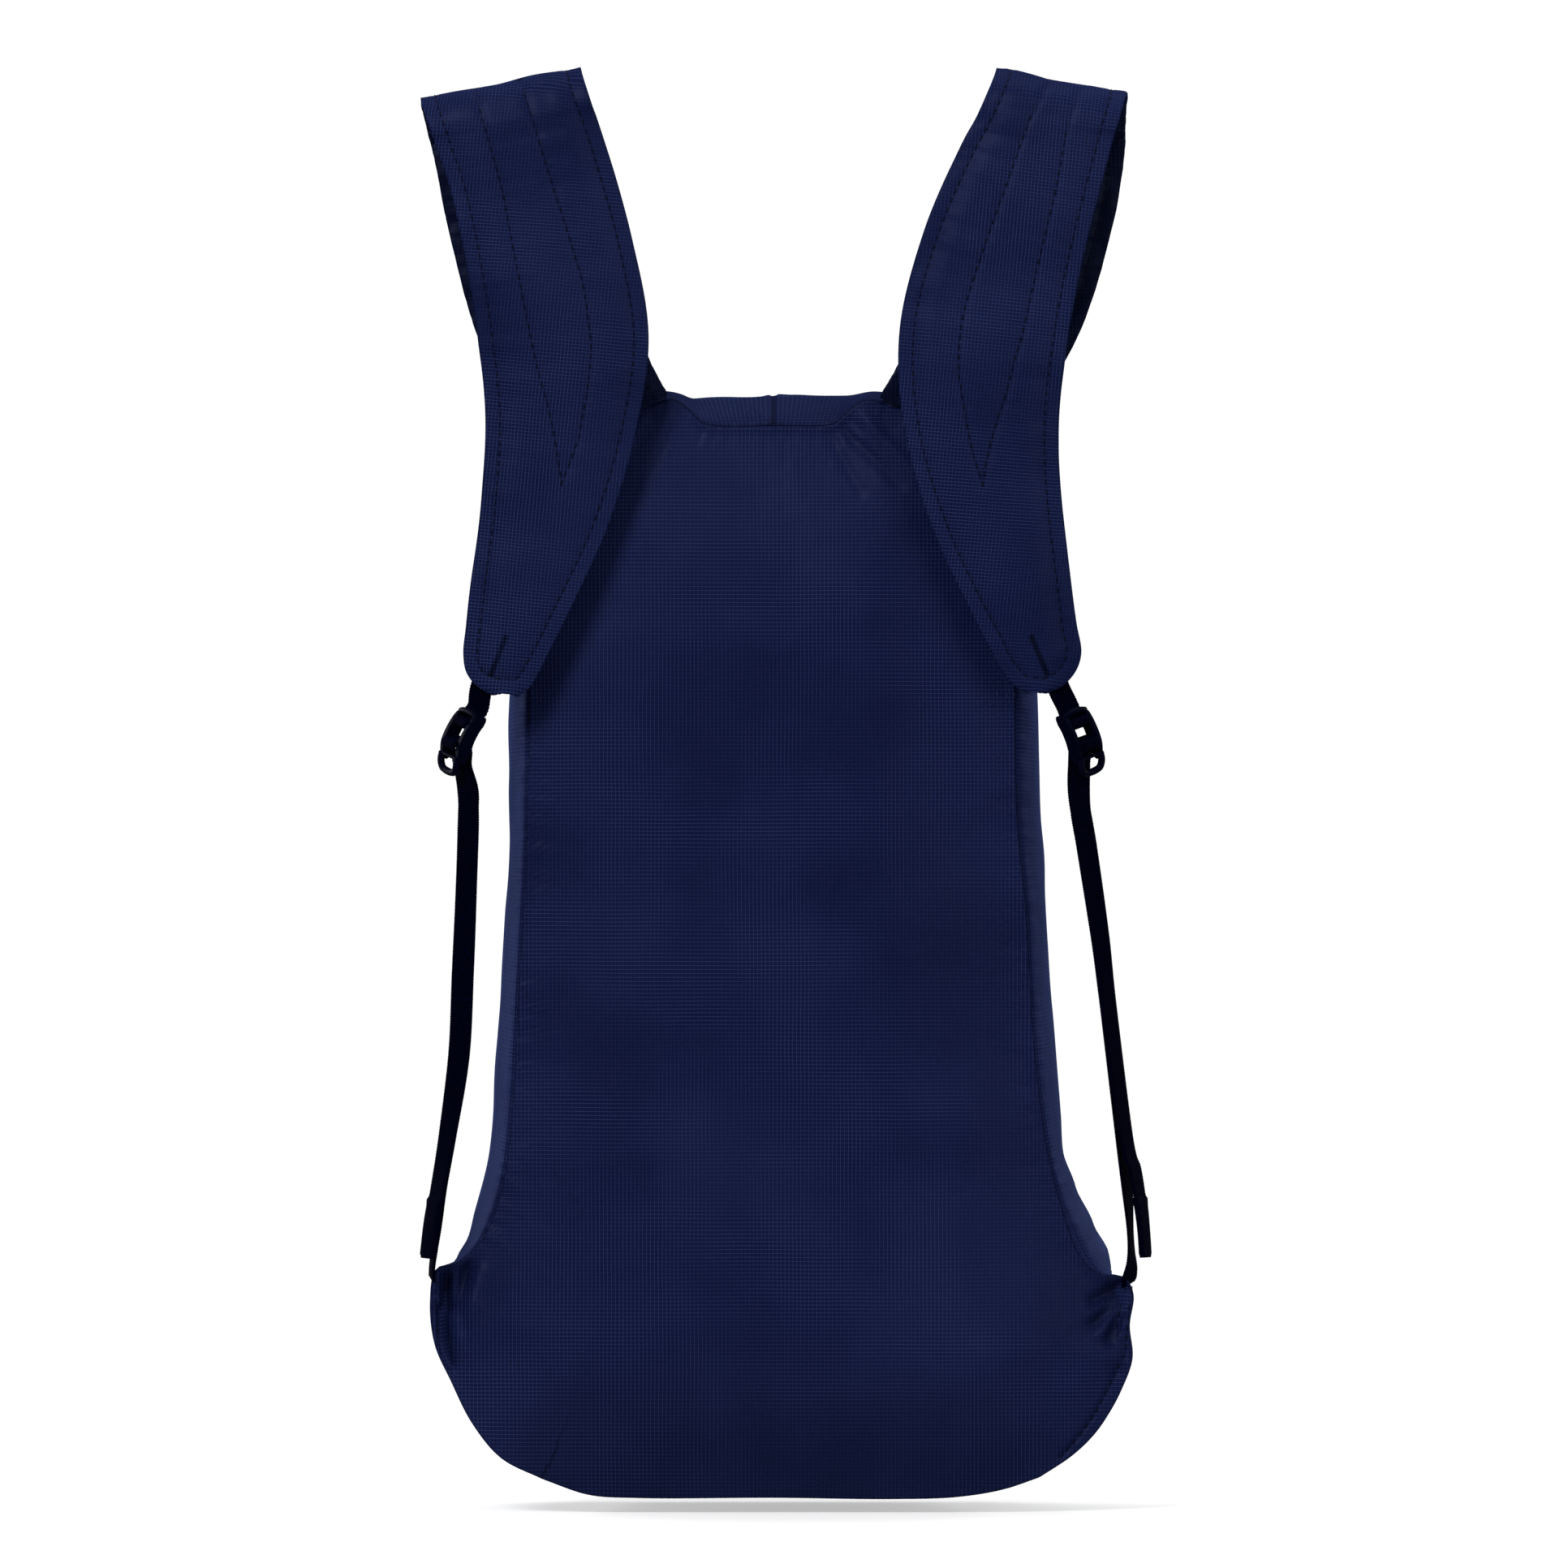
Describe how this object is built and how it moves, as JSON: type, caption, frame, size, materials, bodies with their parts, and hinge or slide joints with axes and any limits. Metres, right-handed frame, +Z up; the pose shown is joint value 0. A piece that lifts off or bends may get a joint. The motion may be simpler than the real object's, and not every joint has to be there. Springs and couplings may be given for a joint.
{
  "type": "backpack",
  "caption": "Ultralight frameless backpack of thin ripstop cloth, hanging by its slim padded shoulder straps, with webbing adjusters at the lower corners.",
  "frame": {"origin": "where it hangs: midway between the undersides of the crests of the two shoulder straps", "axes": "+Z up along the hanging bag, +Y from the wearer's side to the outer side of the bag, +X to the right as seen from the wearer's side"},
  "size_m": [0.3202, 0.1552, 0.6234],
  "materials": {
    "bag_cloth": "satin",
    "strap_cloth": "satin",
    "webbing": "matte",
    "lock": "matte"
  },
  "bodies": {
    "root": {"back_panel": "bag_cloth", "side_panel_left": "bag_cloth", "side_panel_right": "bag_cloth", "bottom_panel": "bag_cloth", "top_panel": "bag_cloth", "front_panel": "bag_cloth", "shoulder_strap_left": "strap_cloth", "shoulder_strap_right": "strap_cloth", "strap_end_webbing_left": "webbing", "strap_end_webbing_right": "webbing", "ladder_lock_left": "lock", "ladder_lock_right": "lock", "adjuster_webbing_left": "webbing", "adjuster_webbing_right": "webbing"}
  },
  "joints": []
}
